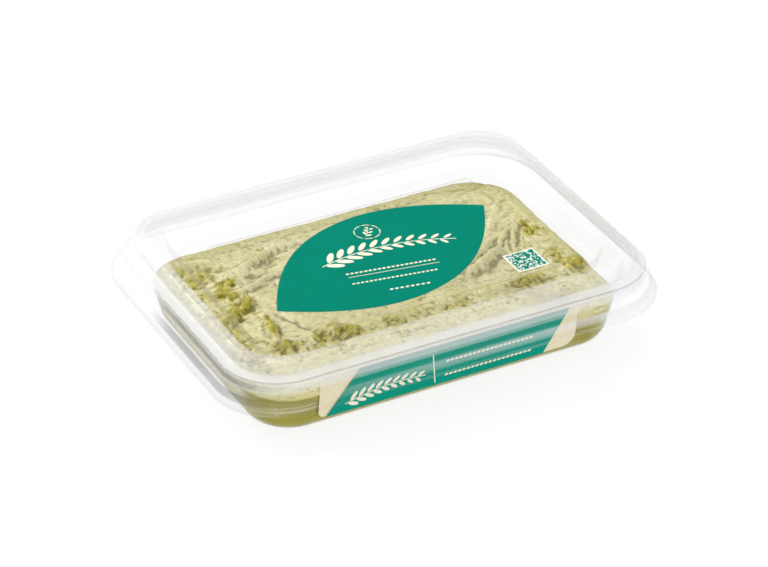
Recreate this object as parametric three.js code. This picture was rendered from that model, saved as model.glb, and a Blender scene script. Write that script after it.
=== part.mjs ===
// A rectangular clear tub of herb-green hummus with a press-on lid, in millimetres.
// X runs along the long side, the labelled long wall faces -Y, and Z is up.
// The origin is the middle of the tub's flat base.

import * as THREE from 'three';

// Plastic sheet
const SHEET = 0.8;
const CLEARANCE = 0.3;

// Tub: half length of the wall where the base's rounding ends, and how far it leans out
const BASE_RADIUS = 9.7;
const WALL_HALF_X = 86.0;
const WALL_LEAN = 0.2;
const WALL_CORNER_RADIUS = 21.5;
const RIM_UNDERSIDE_Z = 34.7;
const LIP_HALF_X = 96.4;
const LIP_BOTTOM_Z = 31.0;

// The long walls stand this much nearer the middle than the short ones, at the base and at the rim
const SIDE_DIFFERENCE_BASE = 25.2;
const SIDE_DIFFERENCE_RIM = 26.1;

// Lid, on its upper face
const PANEL_HALF_X = 78.0;
const PANEL_Z = 33.9;
const RIM_TOP_Z = 43.0;
const RIM_INNER_HALF_X = 82.9;
const RIM_OUTER_HALF_X = 93.1;
const RIM_CORNER_RADIUS = 20.4;
const LEDGE_Z = 36.7;
const LEDGE_HALF_X = 98.3;
const CREASE_HALF_X = 98.9;
const CREASE_Z = 30.8;
const FLANGE_HALF_X = 103.0;
const FLANGE_Z = 24.4;
const FLANGE_BOTTOM_Z = 23.4;

// Clear film on the lid's panel, and the fields printed on it
const FILM_HALF_X = 64.2;
const FILM_HALF_Y = 41.3;
const FILM_CORNER_RADIUS = 2;
const PAPER = 0.2;
const LEAF_X = -0.35;
const LEAF_Y = -0.9;
const LEAF_HALF_LENGTH = 61.3;
const LEAF_HALF_WIDTH = 33.8;
const LEAF_FULLNESS = 2.12;
const LEAF_TURN_DEG = 16.5;
const PATCH_SIDE = 14.5;
const PATCH_X = 52.1;
const PATCH_Y = -31.4;

// Front label, measured along x and up the leaning wall, a little clear of it
const LABEL_CLEARANCE = 0.4;
const LABEL_LEFT_X = -61.9;
const LABEL_RIGHT_X = 59.2;
const LABEL_BOTTOM_Z = 7.7;
const LABEL_TOP_Z = 31.0;
const LABEL_LEFT_RADIUS = 3;
const LABEL_RIGHT_RADIUS = 6;
const BAND_LEFT_X = -58.2;
const BAND_RIGHT_X = 43.8;
const BAND_LEFT_LEAN = 0.64;
const BAND_RIGHT_LEAN = 0.48;
const BAND_TOP_MARGIN = 1.8;

// Hummus: its level at the wall, how finely its top is divided, and how much of it the wall keeps
const LEVEL_Z = 19;
const TOP_CELLS_X = 60;
const TOP_CELLS_Y = 42;
const WALL_SHARE = 0.45;

// The crest behind the scraped front strip: its line, which sways, its steep face, and its left end
const CREST_Y = -22;
const CREST_RISE = 2.2;
const PLATEAU_RISE = 0.9;
const CREST_SWAY = 1.6;
const CREST_SWAY_LENGTH = 13;
const CREST_FACE_RUN = 7;
const CREST_FACE_START = 0.75;
const CREST_FADE = 9;
const CREST_END_X = -66;
const CREST_END_RUN = 24;

// Unevenness: how high it goes, over what distance, and the seed of its lattice
const CREST_WANDER = { rise: 1.2, size: 6, seed: 3 };
const SWELL = { rise: 0.6, size: 17, seed: 1 };
const RIPPLE = { rise: 0.25, size: 6, seed: 2 };
const COARSE_CRUMBS = { rise: 0.75, size: 3.6, seed: 7 };
const FINE_CRUMBS = { rise: 0.35, size: 2.1, seed: 11 };
const CRUMB_MEAN = 0.55;

// What the knife left: middle, direction, length and half width of each stroke, and how high it
// stands. A furrow has a negative rise, bend curves a stroke to one side, and the side that lies to
// the right of its direction falls more steeply.
const STROKES = [
  { x: -35, y: 45, turn: 23, length: 36, width: 2.8, rise: 2.2, bend: 3 },
  { x: -40, y: 35, turn: 35, length: 30, width: 4.5, rise: -1.3, bend: 0 },
  { x: -46, y: 25, turn: 19, length: 24, width: 2.6, rise: 1.8, bend: -1 },
  { x: -64, y: 49, turn: -33, length: 20, width: 3.2, rise: -2.2, bend: 0 },
  { x: -61, y: 53, turn: -30, length: 18, width: 2.2, rise: 0.9, bend: 0 },
  { x: -45, y: -11, turn: -63, length: 24, width: 1.8, rise: -1.6, bend: 1 },
  { x: -39, y: -11, turn: -58, length: 20, width: 3.2, rise: 0.7, bend: 1 },
  { x: 47, y: -6, turn: 22, length: 26, width: 3.6, rise: 2.6, bend: -2 },
  { x: 51, y: 2, turn: 30, length: 22, width: 2.2, rise: -2.4, bend: 0 },
  { x: 57, y: 8, turn: 35, length: 22, width: 3.0, rise: 1.2, bend: 0 },
  { x: 68, y: 12, turn: 36, length: 26, width: 1.8, rise: 2.2, bend: 1.5 },
  { x: 69, y: 4, turn: 62, length: 18, width: 4.5, rise: -1.4, bend: 0 },
  { x: 66, y: 22, turn: 40, length: 32, width: 2.2, rise: 0.8, bend: 1 },
  { x: 72, y: 31, turn: 52, length: 28, width: 2.0, rise: 0.8, bend: 1 },
  { x: 60, y: 50, turn: -32, length: 34, width: 4.5, rise: 0.9, bend: -2 },
  { x: 35, y: -8, turn: 60, length: 9, width: 2.2, rise: -1.6, bend: 0 },
  { x: 5, y: 57, turn: 0, length: 150, width: 3.5, rise: -0.9, bend: 0 },
  { x: 0, y: -36, turn: 0, length: 150, width: 6.0, rise: -0.4, bend: 0 },
];

// Where the paste tore and stands in crumbs: middle, direction, half length, half width and rise
const CRAGS = [
  { x: -63, y: 10, turn: 42, length: 12, width: 5.0, rise: 3.8 },
  { x: -57, y: -8, turn: 80, length: 9, width: 3.2, rise: 2.4 },
  { x: -31, y: -24, turn: -40, length: 8, width: 3.8, rise: 2.6 },
  { x: -60, y: 31, turn: 20, length: 7, width: 5.0, rise: 2.0 },
  { x: -64, y: 23, turn: -20, length: 9, width: 4.0, rise: 1.8 },
  { x: -68, y: 39, turn: 30, length: 9, width: 5.0, rise: 1.5 },
  { x: -57, y: -24, turn: 0, length: 7, width: 4.5, rise: 2.2 },
  { x: -41, y: -22, turn: 60, length: 6, width: 3.5, rise: 2.0 },
  { x: 12, y: -26, turn: 0, length: 34, width: 3.8, rise: 1.8 },
  { x: 58, y: -26, turn: 0, length: 10, width: 4.2, rise: 2.4 },
  { x: 78, y: 12, turn: 80, length: 8, width: 3.4, rise: 2.0 },
  { x: 77, y: -13, turn: 80, length: 8, width: 3.6, rise: 2.0 },
  { x: 82, y: -24, turn: 60, length: 7, width: 4.0, rise: 1.8 },
  { x: -76, y: -8, turn: 90, length: 30, width: 5.0, rise: 1.6 },
];

const STEEP_SIDE = 1.6;

const CORNER_STEPS = 8;
const CORNER_FLATS = 4;
const LEAF_FLATS = 40;
const DEGREE = Math.PI / 180;

const clamp = (value, low, high) => Math.min(Math.max(value, low), high);
const smooth = (t) => t * t * (3 - 2 * t);
const mix = (a, b, t) => a + (b - a) * t;

// Points of an arc in a wall's section, where x is the distance out and y the height
function arc(centreX, centreY, radius, fromDeg, toDeg, steps) {
  const points = [];
  for (let i = 0; i <= steps; i += 1) {
    const angle = mix(fromDeg, toDeg, i / steps) * DEGREE;
    const x = centreX + radius * Math.cos(angle);
    const y = centreY + radius * Math.sin(angle);
    points.push(new THREE.Vector2(x, y));
  }
  return points;
}

// The same section moved to its left by a distance, with mitred bends
function offsetPath(path, distance) {
  return path.map((point, i) => {
    const before = path[Math.max(i - 1, 0)];
    const after = path[Math.min(i + 1, path.length - 1)];
    const normalIn = point.clone().sub(before).normalize();
    const normalOut = after.clone().sub(point).normalize();
    if (i === 0) normalIn.copy(normalOut);
    if (i === path.length - 1) normalOut.copy(normalIn);
    const along = normalIn.clone().add(normalOut).normalize();
    const stretch = along.dot(normalIn);
    const reach = distance / stretch;
    return new THREE.Vector2(point.x - along.y * reach, point.y + along.x * reach);
  });
}

function sideDifference(z) {
  const share = clamp((z - BASE_RADIUS) / (RIM_UNDERSIDE_Z - BASE_RADIUS), 0, 1);
  return mix(SIDE_DIFFERENCE_BASE, SIDE_DIFFERENCE_RIM, share);
}

// The tub's corners open slowly up the wall; under it they keep one centre
function tubCorner(halfX) {
  const beyond = halfX - WALL_HALF_X;
  return WALL_CORNER_RADIUS + beyond * (beyond > 0 ? 0.27 : 1);
}

// The lid's corners keep one centre outside the rim, and are rounder inside it
function lidCorner(halfX) {
  const beyond = halfX - RIM_OUTER_HALF_X;
  return RIM_CORNER_RADIUS + beyond * (beyond > 0 ? 1 : 0.5);
}

// One level round of a rounded rectangle, counterclockwise from above
function ring(halfX, z, corner) {
  const halfY = halfX - sideDifference(z);
  const radius = corner(halfX);
  const points = [];
  for (let quarter = 0; quarter < 4; quarter += 1) {
    const signX = quarter === 0 || quarter === 3 ? 1 : -1;
    const signY = quarter < 2 ? 1 : -1;
    for (let step = 0; step <= CORNER_STEPS; step += 1) {
      const angle = (quarter + step / CORNER_STEPS) * 90 * DEGREE;
      const x = signX * (halfX - radius) + radius * Math.cos(angle);
      const y = signY * (halfY - radius) + radius * Math.sin(angle);
      points.push([x, y, z]);
    }
  }
  return points;
}

function closedGeometry(points, triangles) {
  const geometry = new THREE.BufferGeometry();
  geometry.setAttribute('position', new THREE.Float32BufferAttribute(points.flat(), 3));
  geometry.setIndex(triangles);
  geometry.computeVertexNormals();
  return geometry;
}

// A formed sheet: its lower face from the middle out, then its upper face back to the middle
function formedSheet(lowerPath, upperPath, corner) {
  const stations = [...lowerPath, ...upperPath.slice().reverse()];
  const rings = stations.map((point) => ring(point.x, point.y, corner));
  const size = rings[0].length;
  const points = rings.flat();
  const triangles = [];
  for (let i = 0; i + 1 < rings.length; i += 1) {
    for (let j = 0; j < size; j += 1) {
      const a = i * size + j;
      const b = i * size + ((j + 1) % size);
      triangles.push(a, b, b + size, a, b + size, a + size);
    }
  }
  const first = points.push([0, 0, stations[0].y]) - 1;
  const last = points.push([0, 0, stations[stations.length - 1].y]) - 1;
  const lastRing = (rings.length - 1) * size;
  for (let j = 0; j < size; j += 1) {
    const next = (j + 1) % size;
    triangles.push(first, next, j, last, lastRing + j, lastRing + next);
  }
  return closedGeometry(points, triangles);
}

function wallHalfX(z) {
  return WALL_HALF_X + WALL_LEAN * (z - BASE_RADIUS);
}

const wallLeanDeg = Math.atan(WALL_LEAN) / DEGREE;
const baseFlatHalfX = WALL_HALF_X - BASE_RADIUS / Math.cos(wallLeanDeg * DEGREE);

// Tub: flat base, rounded edge, leaning wall, flat rim and a lip that turns down
function tubGeometry() {
  const rimFillet = 1.2;
  const lipFillet = 0.4;
  const filletZ = RIM_UNDERSIDE_Z - rimFillet;
  const filletX = wallHalfX(filletZ) + rimFillet;
  const outside = [
    ...arc(baseFlatHalfX, BASE_RADIUS, BASE_RADIUS, -90, -wallLeanDeg, 6),
    ...arc(filletX, filletZ, rimFillet, 180 - wallLeanDeg, 90, 2),
    ...arc(LIP_HALF_X - lipFillet, RIM_UNDERSIDE_Z - lipFillet, lipFillet, 90, 0, 1),
    new THREE.Vector2(LIP_HALF_X, LIP_BOTTOM_Z),
  ];
  return formedSheet(outside, offsetPath(outside, SHEET), tubCorner);
}

// Lid: sunk panel, raised flat-topped rim, ledge, skirt with a crease, and a flared flange
function lidGeometry() {
  const panelFillet = 1.5;
  const rimRound = 1.6;
  const shoulderRound = 2.2;
  const footFillet = 1.0;
  const ledgeRound = 0.8;
  const footX = RIM_OUTER_HALF_X + footFillet + 0.2;
  const rimWallLean = Math.atan2(
    RIM_INNER_HALF_X - rimRound - PANEL_HALF_X - panelFillet,
    RIM_TOP_Z - rimRound - PANEL_Z - panelFillet,
  ) / DEGREE;
  const upper = [
    ...arc(PANEL_HALF_X, PANEL_Z + panelFillet, panelFillet, -90, -rimWallLean, 3),
    ...arc(RIM_INNER_HALF_X, RIM_TOP_Z - rimRound, rimRound, 180 - rimWallLean, 90, 3),
    ...arc(RIM_OUTER_HALF_X - shoulderRound, RIM_TOP_Z - shoulderRound, shoulderRound, 90, 2, 4),
    ...arc(footX, LEDGE_Z + footFillet, footFillet, 182, 270, 2),
    ...arc(LEDGE_HALF_X - ledgeRound, LEDGE_Z - ledgeRound, ledgeRound, 90, 6, 2),
    new THREE.Vector2(CREASE_HALF_X, CREASE_Z),
    new THREE.Vector2(FLANGE_HALF_X, FLANGE_Z),
    new THREE.Vector2(FLANGE_HALF_X, FLANGE_BOTTOM_Z),
  ];
  return formedSheet(offsetPath(upper, -SHEET), upper, lidCorner);
}

// A number between -1 and 1 for a cell of a lattice, the same on every run
function cellValue(column, row, seed) {
  const value = Math.sin(column * 127.1 + row * 311.7 + seed * 74.7) * 43758.5453;
  return 2 * (value - Math.floor(value)) - 1;
}

function noise(x, y, seed) {
  const column = Math.floor(x);
  const row = Math.floor(y);
  const shareX = smooth(x - column);
  const shareY = smooth(y - row);
  const near = mix(cellValue(column, row, seed), cellValue(column + 1, row, seed), shareX);
  const far = mix(cellValue(column, row + 1, seed), cellValue(column + 1, row + 1, seed), shareX);
  return mix(near, far, shareY);
}

function unevenness(kind, x, y) {
  return kind.rise * noise(x / kind.size, y / kind.size, kind.seed);
}

// A place seen from a stroke: how far along it and how far to its side
function local(mark, x, y) {
  const cos = Math.cos(mark.turn * DEGREE);
  const sin = Math.sin(mark.turn * DEGREE);
  const along = (x - mark.x) * cos + (y - mark.y) * sin;
  const across = (y - mark.y) * cos - (x - mark.x) * sin;
  return { along, across };
}

function strokeHeight(stroke, x, y) {
  const { along, across } = local(stroke, x, y);
  const share = (2 * along) / stroke.length;
  const offset = (across + stroke.bend * share * share) / stroke.width;
  const side = offset < 0 ? STEEP_SIDE * offset : offset;
  return stroke.rise * Math.exp(-(share ** 4)) * Math.exp(-side * side);
}

function cragHeight(crag, x, y) {
  const { along, across } = local(crag, x, y);
  const reach = (along / crag.length) ** 2 + (across / crag.width) ** 2;
  const crumbs = CRUMB_MEAN + unevenness(COARSE_CRUMBS, x, y) + unevenness(FINE_CRUMBS, x, y);
  return crag.rise * Math.exp(-reach * reach) * crumbs;
}

// The scraped front strip lies low, and the mass behind it ends in a crest that falls steeply
function crestHeight(x, y) {
  const sway = CREST_SWAY * Math.sin(x / CREST_SWAY_LENGTH) + unevenness(CREST_WANDER, x, 0);
  const behind = y - CREST_Y - sway;
  const face = smooth(clamp(behind / CREST_FACE_RUN + CREST_FACE_START, 0, 1));
  const back = mix(PLATEAU_RISE, CREST_RISE, Math.exp(-Math.max(behind, 0) / CREST_FADE));
  const leftEnd = smooth(clamp((x - CREST_END_X) / CREST_END_RUN, 0, 1));
  return face * mix(PLATEAU_RISE, back, leftEnd);
}

function hummusHeight(x, y) {
  let height = LEVEL_Z + crestHeight(x, y) + unevenness(SWELL, x, y) + unevenness(RIPPLE, x, y);
  for (const stroke of STROKES) height += strokeHeight(stroke, x, y);
  for (const crag of CRAGS) height += cragHeight(crag, x, y);
  return height;
}

// A point of a square's edge or inside, moved to a rounded rectangle of the same middle
function roundedPlace(u, v, halfX, halfY, radius) {
  const level = Math.max(Math.abs(u), Math.abs(v));
  if (level === 0) return [0, 0];
  let x = (Math.abs(u) / level) * halfX;
  let y = (Math.abs(v) / level) * halfY;
  const cornerX = x - (halfX - radius);
  const cornerY = y - (halfY - radius);
  if (cornerX > 0 && cornerY > 0) {
    const shrink = radius / Math.hypot(cornerX, cornerY);
    x = halfX - radius + cornerX * shrink;
    y = halfY - radius + cornerY * shrink;
  }
  return [Math.sign(u) * level * x, Math.sign(v) * level * y];
}

// Hummus: fills the tub to its level, clear of the plastic, with a worked top
function hummusGeometry() {
  const inset = SHEET + CLEARANCE;
  const wallSlack = inset / Math.cos(wallLeanDeg * DEGREE);
  const points = [];
  const triangles = [];
  const place = (u, v, halfX, z) => {
    const [x, y] = roundedPlace(u, v, halfX, halfX - sideDifference(z), tubCorner(halfX));
    return [x, y, z];
  };
  const share = (i, j) => [(2 * i) / TOP_CELLS_X - 1, (2 * j) / TOP_CELLS_Y - 1];
  const column = TOP_CELLS_Y + 1;
  const rimIndices = [];
  const nearlyOne = 1 - 1e-9;
  for (let i = 0; i <= TOP_CELLS_X; i += 1) {
    for (let j = 0; j <= TOP_CELLS_Y; j += 1) {
      const [u, v] = share(i, j);
      const [x, y] = place(u, v, wallHalfX(LEVEL_Z) - wallSlack, LEVEL_Z);
      const edge = Math.max(Math.abs(u), Math.abs(v)) > nearlyOne;
      const height = edge ? mix(LEVEL_Z, hummusHeight(x, y), WALL_SHARE) : hummusHeight(x, y);
      points.push(edge ? place(u, v, wallHalfX(height) - wallSlack, height) : [x, y, height]);
    }
  }
  for (let i = 0; i < TOP_CELLS_X; i += 1) {
    for (let j = 0; j < TOP_CELLS_Y; j += 1) {
      const a = i * column + j;
      const b = a + column;
      triangles.push(a, b, b + 1, a, b + 1, a + 1);
    }
  }
  for (let i = 0; i < TOP_CELLS_X; i += 1) rimIndices.push(i * column);
  for (let j = 0; j < TOP_CELLS_Y; j += 1) rimIndices.push(TOP_CELLS_X * column + j);
  for (let i = TOP_CELLS_X; i > 0; i -= 1) rimIndices.push(i * column + TOP_CELLS_Y);
  for (let j = TOP_CELLS_Y; j > 0; j -= 1) rimIndices.push(j);

  const side = arc(baseFlatHalfX, BASE_RADIUS, BASE_RADIUS - inset, -wallLeanDeg, -90, 4);
  let above = rimIndices;
  for (const station of side) {
    const below = rimIndices.map((index) => {
      const [u, v] = share(Math.floor(index / column), index % column);
      return points.push(place(u, v, station.x, station.y)) - 1;
    });
    for (let k = 0; k < below.length; k += 1) {
      const next = (k + 1) % below.length;
      triangles.push(below[k], below[next], above[next], below[k], above[next], above[k]);
    }
    above = below;
  }
  const middle = points.push([0, 0, inset]) - 1;
  for (let k = 0; k < above.length; k += 1) {
    triangles.push(middle, above[(k + 1) % above.length], above[k]);
  }
  return closedGeometry(points, triangles);
}

// A thin flat piece cut to an outline, with this many flats on each arc
function cutSheet(shape, curveSegments) {
  return new THREE.ExtrudeGeometry(shape, { depth: PAPER, bevelEnabled: false, curveSegments });
}

// A rectangle with its own rounding at the lower left, the lower right and both upper corners
function roundedShape(left, right, bottom, top, leftRadius, rightRadius, highRadius) {
  const half = Math.PI / 2;
  const shape = new THREE.Shape();
  shape.absarc(left + leftRadius, bottom + leftRadius, leftRadius, 2 * half, 3 * half, false);
  shape.absarc(right - rightRadius, bottom + rightRadius, rightRadius, 3 * half, 4 * half, false);
  shape.absarc(right - highRadius, top - highRadius, highRadius, 0, half, false);
  shape.absarc(left + highRadius, top - highRadius, highRadius, half, 2 * half, false);
  shape.closePath();
  return shape;
}

// A leaf's plain outline: two equal curves that are fullest in the middle and meet at the tips
function leafShape() {
  const lower = [];
  const upper = [];
  for (let i = 0; i < LEAF_FLATS; i += 1) {
    const share = -Math.cos((i / LEAF_FLATS) * Math.PI);
    const x = share * LEAF_HALF_LENGTH;
    const y = LEAF_HALF_WIDTH * (1 - Math.abs(share) ** LEAF_FULLNESS);
    lower.push(new THREE.Vector2(x, -y));
    upper.push(new THREE.Vector2(-x, y));
  }
  return new THREE.Shape([...lower, ...upper]);
}

function piece(name, geometry, color, roughness, opacity = 1) {
  const material = new THREE.MeshStandardMaterial({ color, roughness, metalness: 0, opacity });
  material.transparent = opacity < 1;
  const mesh = new THREE.Mesh(geometry, material);
  mesh.name = name;
  return mesh;
}

const model = new THREE.Group();
model.add(piece('tub', tubGeometry(), 0xf2f4f0, 0.12, 0.3));
model.add(piece('hummus', hummusGeometry(), 0xbdb888, 0.65));
model.add(piece('lid', lidGeometry(), 0xf4f5f2, 0.12, 0.3));

// The film lies on the panel, and the printed fields on the film
const filmZ = PANEL_Z + CLEARANCE;
const printZ = filmZ + PAPER + CLEARANCE;
const filmRadii = [FILM_CORNER_RADIUS, FILM_CORNER_RADIUS, FILM_CORNER_RADIUS];
const filmShape = roundedShape(-FILM_HALF_X, FILM_HALF_X, -FILM_HALF_Y, FILM_HALF_Y, ...filmRadii);
const film = piece('lid_film', cutSheet(filmShape, CORNER_FLATS), 0xf6f7f4, 0.2, 0.3);
film.position.z = filmZ;
model.add(film);

const leaf = piece('leaf_print', cutSheet(leafShape(), 1), 0x048c79, 0.45);
leaf.rotation.z = LEAF_TURN_DEG * DEGREE;
leaf.position.set(LEAF_X, LEAF_Y, printZ);
model.add(leaf);

const patchGeometry = new THREE.BoxGeometry(PATCH_SIDE, PATCH_SIDE, PAPER);
const patch = piece('square_print', patchGeometry, 0x5fae9c, 0.5);
patch.position.set(PATCH_X, PATCH_Y, printZ + PAPER / 2);
model.add(patch);

// The front label stands on the leaning long wall, in a group whose Y runs up that wall
const bottomHalfY = wallHalfX(LABEL_BOTTOM_Z) - sideDifference(LABEL_BOTTOM_Z);
const topHalfY = wallHalfX(LABEL_TOP_Z) - sideDifference(LABEL_TOP_Z);
const labelRise = LABEL_TOP_Z - LABEL_BOTTOM_Z;
const labelLean = Math.atan2(topHalfY - bottomHalfY, labelRise);
const labelHeight = labelRise / Math.cos(labelLean);
const frontWall = new THREE.Group();
frontWall.position.set(0, -bottomHalfY, LABEL_BOTTOM_Z);
frontWall.rotation.x = Math.PI / 2 + labelLean;

const labelRadii = [LABEL_LEFT_RADIUS, LABEL_RIGHT_RADIUS, PAPER];
const labelShape = roundedShape(LABEL_LEFT_X, LABEL_RIGHT_X, 0, labelHeight, ...labelRadii);
const label = piece('front_label', cutSheet(labelShape, CORNER_FLATS), 0xe4d8c3, 0.5);
label.position.z = LABEL_CLEARANCE;
frontWall.add(label);

const bandHeight = labelHeight - BAND_TOP_MARGIN;
const bandShape = new THREE.Shape([
  new THREE.Vector2(BAND_LEFT_X, 0),
  new THREE.Vector2(BAND_RIGHT_X, 0),
  new THREE.Vector2(BAND_RIGHT_X + BAND_RIGHT_LEAN * bandHeight, bandHeight),
  new THREE.Vector2(BAND_LEFT_X + BAND_LEFT_LEAN * bandHeight, bandHeight),
]);
const band = piece('label_band', cutSheet(bandShape, 1), 0x048c74, 0.45);
band.position.z = label.position.z + PAPER + CLEARANCE;
frontWall.add(band);
model.add(frontWall);

export default model;
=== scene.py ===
import math

import bpy
import numpy as np
from mathutils import Matrix, Vector


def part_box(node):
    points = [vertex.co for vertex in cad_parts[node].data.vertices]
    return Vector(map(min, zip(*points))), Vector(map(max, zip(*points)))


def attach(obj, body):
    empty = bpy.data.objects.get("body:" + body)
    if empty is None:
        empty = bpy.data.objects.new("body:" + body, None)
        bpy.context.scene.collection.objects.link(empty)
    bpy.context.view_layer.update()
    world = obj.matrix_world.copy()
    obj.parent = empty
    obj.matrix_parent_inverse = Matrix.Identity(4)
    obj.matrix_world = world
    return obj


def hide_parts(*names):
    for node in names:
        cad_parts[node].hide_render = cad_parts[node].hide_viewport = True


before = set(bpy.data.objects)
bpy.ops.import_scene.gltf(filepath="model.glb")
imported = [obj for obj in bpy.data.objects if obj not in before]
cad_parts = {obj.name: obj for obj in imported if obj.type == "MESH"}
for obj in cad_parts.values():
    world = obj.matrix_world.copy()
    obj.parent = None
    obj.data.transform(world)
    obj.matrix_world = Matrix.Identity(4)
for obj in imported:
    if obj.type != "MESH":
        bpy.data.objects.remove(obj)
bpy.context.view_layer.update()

# Tub
# A clear tub formed from one warm sheet: flat base, rounded edge, walls that lean out, and a flat rim
# with a lip that turns down inside the lid's skirt. Its outer face is the solid's, its sheet thinner.
mm = 0.001
sheet = 0.5 * mm
tub_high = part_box("tub")[1]
base_radius = 9.7 * mm
wall_half_x = 86.0 * mm
wall_lean = 0.2
wall_corner_radius = 21.5 * mm
rim_underside_z = tub_high.z - 0.8 * mm
lip_half_x = tub_high.x - 0.8 * mm
lip_bottom_z = 31.0 * mm
side_difference_base = 25.2 * mm
side_difference_rim = 26.1 * mm
corner_steps = 22
side_steps = 30
sharp_bend_deg = 40.0
lean_deg = math.degrees(math.atan(wall_lean))
base_flat_half_x = wall_half_x - base_radius / math.cos(math.radians(lean_deg))


def smoothstep(share):
    """Goes from 0 to 1 with a soft start and a soft end."""
    share = np.clip(share, 0.0, 1.0)
    return share * share * (3.0 - 2.0 * share)


def side_difference(z):
    """How much less far the tub reaches along Y than along X at a height."""
    share = np.clip((z - base_radius) / (rim_underside_z - base_radius), 0.0, 1.0)
    return side_difference_base + (side_difference_rim - side_difference_base) * share


def wall_x(z):
    """How far out along X the wall's outer face stands at a height."""
    return wall_half_x + wall_lean * (z - base_radius)


def tub_corner(half_x):
    """Radius of the tub's corner where it reaches that far out."""
    beyond = half_x - wall_half_x
    return wall_corner_radius + beyond * np.where(beyond > 0.0, 0.27, 1.0)


def arc(centre_x, centre_z, radius, from_deg, to_deg, steps):
    """Points of an arc in a wall's section: distance out, and height."""
    angles = np.radians(np.linspace(from_deg, to_deg, steps + 1))
    return [(centre_x + radius * math.cos(angle), centre_z + radius * math.sin(angle)) for angle in angles]


def offset_path(path, distance):
    """The same section moved to its left, with mitred bends."""
    points = np.array(path)
    runs = np.diff(points, axis=0)
    runs /= np.linalg.norm(runs, axis=1)[:, None]
    before = np.vstack([runs[:1], runs])
    after = np.vstack([runs, runs[-1:]])
    along = before + after
    along /= np.linalg.norm(along, axis=1)[:, None]
    stretch = np.sum(along * before, axis=1)
    side = np.column_stack([-along[:, 1], along[:, 0]])
    return points + side * (distance / stretch)[:, None]


def level_ring(half_x, z, corner):
    """One level round of the rounded rectangle, counterclockwise from above, and which way it faces."""
    half_y = half_x - side_difference(z)
    radius = float(corner(half_x))
    points = []
    facing = []
    for quarter in range(4):
        middle_x = (half_x - radius) * (1 if quarter in (0, 3) else -1)
        middle_y = (half_y - radius) * (1 if quarter < 2 else -1)
        for step in range(corner_steps + 1):
            angle = (quarter + step / corner_steps) * math.pi / 2
            facing.append((math.cos(angle), math.sin(angle)))
            points.append((middle_x + radius * facing[-1][0], middle_y + radius * facing[-1][1], z))
        straight = 2 * ((half_x if quarter % 2 == 0 else half_y) - radius)
        for step in range(1, side_steps):
            move = straight * step / side_steps
            x, y, z = points[-step]
            points.append((x - move * facing[-1][1], y + move * facing[-1][0], z))
            facing.append(facing[-1])
    return points, facing


def by_side(facing, left, front, right, back):
    """A value for each side of the pack, which turns into the next one round the corner."""
    share_x = facing[:, 0] ** 2
    along_x = np.where(facing[:, 0] < 0, left, right)
    along_y = np.where(facing[:, 1] < 0, front, back)
    return along_x * share_x + along_y * (1 - share_x)


def formed_sheet(name, section, thickness, corner, way, looks):
    """A thin shell under its section, with its milkiness and painted sheen, and its faint tint and painted
    dark reflections, at each place.
    """
    lower = offset_path(section, -thickness)
    stations = list(lower) + list(section)[::-1]
    ways = np.concatenate([way, way[::-1]])
    rings = [level_ring(x, z, corner) for x, z in stations]
    size = len(rings[0][0])
    points = np.array([point for ring, facing in rings for point in ring])
    facing = np.array([side for ring, sides in rings for side in sides])
    faces = []
    for ring_number in range(len(rings) - 1):
        for step in range(size):
            here = ring_number * size + step
            beside = ring_number * size + (step + 1) % size
            faces.append((here, beside, beside + size, here + size))
    faces.append(tuple(range(size))[::-1])
    faces.append(tuple(range((len(rings) - 1) * size, len(rings) * size)))
    mesh = bpy.data.meshes.new(name)
    mesh.from_pydata(points.tolist(), [], faces)
    mesh.shade_smooth()
    mesh.set_sharp_from_angle(angle=math.radians(sharp_bend_deg))
    places = points / mm
    shares = looks(np.repeat(ways, size), places[:, 0], places[:, 1], facing)
    for look, values in zip(("milk", "grey"), shares):
        store = mesh.attributes.new(look, "FLOAT", "POINT")
        store.data.foreach_set("value", np.clip(values, 0.0, 0.95).astype(np.float32))
    piece = bpy.data.objects.new(name, mesh)
    bpy.context.scene.collection.objects.link(piece)
    return piece


class Value:
    """A shader socket, so that maths on it reads as a plain expression."""

    def __init__(self, finish, socket):
        self.finish = finish
        self.socket = socket

    def other(self, name):
        return Value(self.finish, self.socket.node.outputs[name])

    def maths(self, operation, left, right):
        return self.finish.node("ShaderNodeMath", {"operation": operation}, {0: left, 1: right})

    def __add__(self, other):
        return self.maths("ADD", self, other)

    __radd__ = __add__

    def __mul__(self, other):
        return self.maths("MULTIPLY", self, other)

    __rmul__ = __mul__

    def __sub__(self, other):
        return self.maths("SUBTRACT", self, other)

    def __rsub__(self, other):
        return self.maths("SUBTRACT", other, self)

    def __gt__(self, other):
        return self.maths("GREATER_THAN", self, other)

    def __lt__(self, other):
        return self.maths("LESS_THAN", self, other)


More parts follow.
